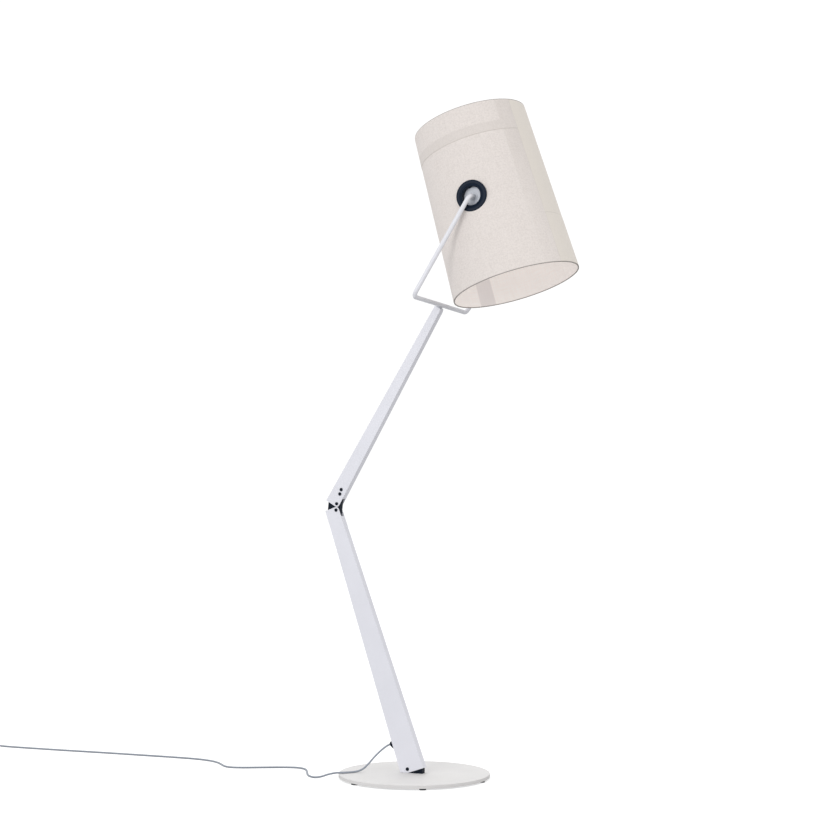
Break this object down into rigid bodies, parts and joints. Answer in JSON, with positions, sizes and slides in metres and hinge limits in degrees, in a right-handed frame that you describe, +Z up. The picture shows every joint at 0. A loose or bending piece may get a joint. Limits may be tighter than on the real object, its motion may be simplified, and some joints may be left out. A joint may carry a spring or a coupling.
{
  "type": "adjustable arm floor lamp",
  "caption": "Adjustable floor lamp: round steel base, two flat folding arms with black friction elbow links, a bent tube fork and a tilting tapered fabric shade, with its mains cord.",
  "frame": {"origin": "on the floor, under the centre of the round base plate", "axes": "+Z up; +X towards the side that the shade hangs over; the arms fold in the XZ plane, about axes along Y"},
  "size_m": [1.9934, 0.4, 1.7763],
  "materials": {
    "painted_steel_base": "satin",
    "painted_arm": "satin",
    "painted_rod": "satin",
    "black_steel": "satin",
    "black_plastic": "matte",
    "dark_plastic": "matte",
    "button_plastic": "satin",
    "pale_plastic": "satin",
    "white_plastic": "gloss",
    "eyelet_plastic": "satin",
    "foot_rubber": "matte",
    "grey_washer": "matte",
    "zinc_steel": "satin",
    "spring_steel": "satin",
    "hoop_steel": "satin",
    "brass_thread": "satin",
    "brass_shell": "satin",
    "plug_brass": "polished",
    "liner_film": "matte",
    "shade_fabric": "woven",
    "cord_sheath": "satin",
    "lead_sheath": "matte"
  },
  "bodies": {
    "base": {"base_plate": "painted_steel_base", "base_feet": "foot_rubber", "base_core": "black_plastic", "base_core_screws": "zinc_steel", "base_washers": "grey_washer", "cord_tube": "cord_sheath", "cord_coil": "cord_sheath", "cord_tie": "dark_plastic", "switch_base": "dark_plastic", "switch_cover": "dark_plastic", "plug_body": "dark_plastic", "plug_pins": "plug_brass"},
    "lower_arm": {"base_pin": "black_steel", "lower_arm": "painted_arm", "cord_gland": "black_plastic", "lower_lead": "lead_sheath", "elbow_pin_lower": "black_steel"},
    "elbow": {"elbow_link": "black_plastic", "elbow_washers": "grey_washer"},
    "upper_arm": {"elbow_pin_upper": "black_steel", "upper_arm": "painted_arm", "upper_insert": "black_plastic", "insert_screws": "black_steel", "upper_lead": "lead_sheath", "swivel_bush": "black_plastic"},
    "fork": {"swivel_washer": "pale_plastic", "swivel_stem": "painted_rod", "swivel_circlip": "spring_steel", "fork_rod": "painted_rod", "fork_lead": "lead_sheath", "tip_pins": "zinc_steel", "tip_washers": "pale_plastic", "tip_locknuts": "zinc_steel"},
    "shade": {"hub_cups": "pale_plastic", "eyelets": "eyelet_plastic", "crossbar": "painted_rod", "holder_nipple": "brass_thread", "holder_cap": "white_plastic", "holder_body": "white_plastic", "holder_ring": "white_plastic", "screw_shell": "brass_shell", "centre_contact": "brass_shell", "shade_liner": "liner_film", "shade_cover": "shade_fabric", "upper_hoop": "hoop_steel", "lower_hoop": "hoop_steel"},
    "button": {"switch_button": "button_plastic"}
  },
  "joints": [
    {"name": "base_tilt", "type": "hinge", "parent": "base", "child": "lower_arm", "pos_m": [-0.015, 0, 0.022], "axis": [0, 1, 0], "range_deg": [0, 19]},
    {"name": "elbow_lower", "type": "hinge", "parent": "lower_arm", "child": "elbow", "pos_m": [-0.22751, 0, 0.70507], "axis": [0, 1, 0], "range_deg": [-25, 35]},
    {"name": "elbow_upper", "type": "hinge", "parent": "elbow", "child": "upper_arm", "pos_m": [-0.22574, 0, 0.72218], "axis": [0, 1, 0], "range_deg": [-25, 35]},
    {"name": "fork_swivel", "type": "hinge", "parent": "upper_arm", "child": "fork", "pos_m": [0.07337, 0, 1.24474], "axis": [0.5135, 0, 0.8581], "range_deg": [-160, 160]},
    {"name": "shade_tilt", "type": "hinge", "parent": "fork", "child": "shade", "pos_m": [0.22913, 0, 1.50499], "axis": [0, 1, 0], "range_deg": [-90, 60]},
    {"name": "switch_press", "type": "slide", "parent": "base", "child": "button", "axis": [0, 0, -1], "range_m": [0, 0.0025], "stiffness_N_per_m": 800, "springref_m": -0.002}
  ]
}
